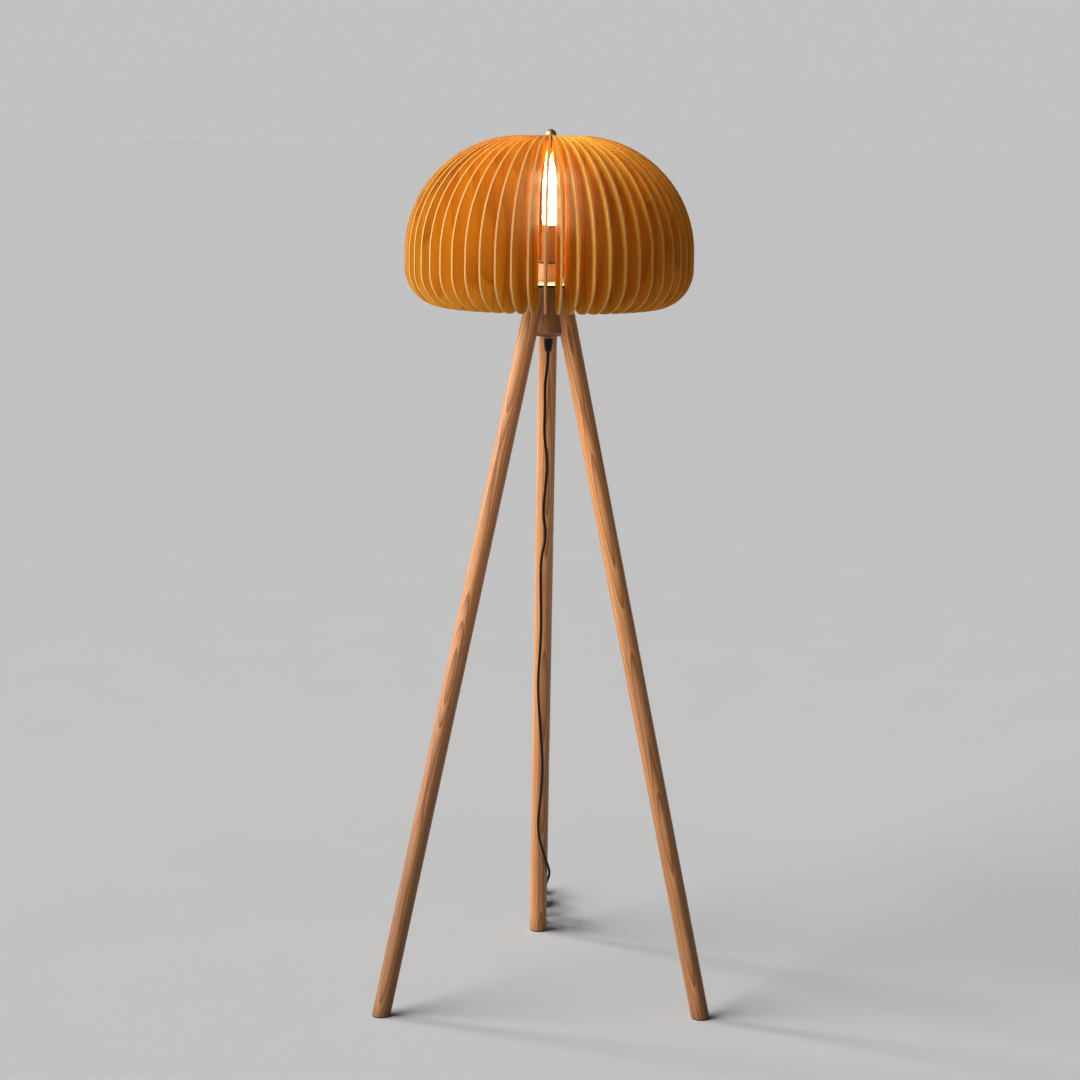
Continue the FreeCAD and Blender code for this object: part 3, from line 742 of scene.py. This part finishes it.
def stripFinish(setup):
    finish, tree, shader = startFinish("glowingStrip")
    place = ownPlace(tree)
    z = addNode(tree, "SeparateXYZ", {0: place}).outputs[2]
    beads = calc(tree, "SINE", calc(tree, "MULTIPLY", z, setup["beads"]))
    bright = setup["stripGlow"]
    glow = remap(tree, beads, -1, 1, setup["dimBead"] * bright, bright)
    shader.inputs["Base Color"].default_value = (*setup["stripTint"], 1)
    shader.inputs["Roughness"].default_value = setup["stripRough"]
    shader.inputs["Emission Color"].default_value = (*setup["glow"], 1)
    tree.links.new(glow, shader.inputs["Emission Strength"])
    return finish


def stemFinish(setup):
    finish, tree, shader = startFinish("bulbStem")
    cloud = noiseAt(tree, ownPlace(tree), 90, 2)
    colour = ramp(tree, cloud, list(zip((0.3, 0.7), setup["stemTints"])))
    dress(tree, shader, colour, cloud, 0.1, 0.0001)
    shader.inputs["Roughness"].default_value = setup["stemRough"]
    shader.inputs["Transmission Weight"].default_value = setup["stemClear"]
    return finish


def capFinish(setup):
    finish, tree, shader = startFinish("bulbCapMetal")
    place = ownPlace(tree)
    x, y, z = addNode(tree, "SeparateXYZ", {0: place}).outputs
    turn = calc(tree, "ARCTAN2", calc(tree, "SUBTRACT", y, axisY), x)
    climb = calc(tree, "MULTIPLY_ADD", z, math.tau / setup["capPitch"], turn)
    thread = calc(tree, "SINE", climb)
    patch = noiseAt(tree, place, 200, 3)
    colour = ramp(tree, patch, list(zip((0.3, 0.7), setup["capTints"])))
    rough = remap(tree, patch, 0.3, 0.7, *setup["capRough"])
    dress(tree, shader, colour, thread, *setup["capBump"], rough)
    shader.inputs["Metallic"].default_value = 1.0
    return finish


paint(bulbGlass(bulbSetup), "bulb_glass")
paint(stripFinish(bulbSetup), "bulb_strips")
paint(stemFinish(bulbSetup), "bulb_stem")
paint(capFinish(bulbSetup), "bulb_cap", "bulb_tip")
print("bulb done")

studioSetup = {
    "floor": (0.555, 0.561, 0.569),
    "half": 220,
    "clouding": 0.005,  # how far the floor's tone strays
    "air": (0.07, 0.07, 0.071),
    "back": (0.539, 0.539, 0.539),
    "suns": {
        # where it comes from, power, width in degrees, colour
        "keySun": ((-1.7, -0.55, 0.9), 5.0, 54, (1.0, 0.985, 0.965)),
        "edgeSun": ((-2.5, 1.15, 1.05), 1.6, 12, (1.0, 0.99, 0.98)),
    },
}


def addFloor(setup):
    mesh = bpy.data.meshes.new("studioFloor")
    shape = bmesh.new()
    bmesh.ops.create_grid(shape, x_segments=8, y_segments=8, size=setup["half"])
    shape.to_mesh(mesh)
    shape.free()
    floor = bpy.data.objects.new("studioFloor", mesh)
    bpy.context.scene.collection.objects.link(floor)
    finish, tree, shader = startFinish("paleFloor")
    cloud = noiseAt(tree, ownPlace(tree), 3, 2)
    low = [part * (1 - setup["clouding"]) for part in setup["floor"]]
    high = [part * (1 + setup["clouding"]) for part in setup["floor"]]
    dress(tree, shader, ramp(tree, cloud, [(0.3, low), (0.7, high)]))
    shader.inputs["Roughness"].default_value = 1.0
    shader.inputs["Specular IOR Level"].default_value = 0.0
    mesh.materials.append(finish)


def addLights(setup, bulb):
    world = bpy.data.worlds.new("studioAir")
    bpy.context.scene.world = world
    world.use_nodes = True
    tree = world.node_tree
    tree.nodes.clear()
    air = addNode(tree, "Background", {"Color": (*setup["air"], 1)})
    back = addNode(tree, "Background", {"Color": (*setup["back"], 1)})
    seen = addNode(tree, "LightPath").outputs["Is Camera Ray"]
    both = addNode(tree, "MixShader", {0: seen, 1: air.outputs[0], 2: back.outputs[0]})
    output = addNode(tree, "OutputWorld")
    tree.links.new(both.outputs[0], output.inputs["Surface"])
    for name, (source, power, width, colour) in setup["suns"].items():
        sun = bpy.data.lights.new(name, "SUN")
        sun.energy, sun.angle, sun.color = power, math.radians(width), colour
        lamp = bpy.data.objects.new(name, sun)
        lamp.rotation_euler = Vector(source).to_track_quat("Z", "Y").to_euler()
        bpy.context.scene.collection.objects.link(lamp)
    inside = bpy.data.lights.new("bulbLight", "POINT")
    inside.energy, inside.color = bulb["power"], bulb["light"]
    inside.shadow_soft_size = bulb["radius"]
    for height in bulb["heights"]:
        lamp = bpy.data.objects.new("bulbLight", inside)
        lamp.location = (0, axisY, height)
        bpy.context.scene.collection.objects.link(lamp)


addFloor(studioSetup)
addLights(studioSetup, bulbSetup)
bpy.context.scene.view_settings.view_transform = "Standard"
print("floor and lights done")
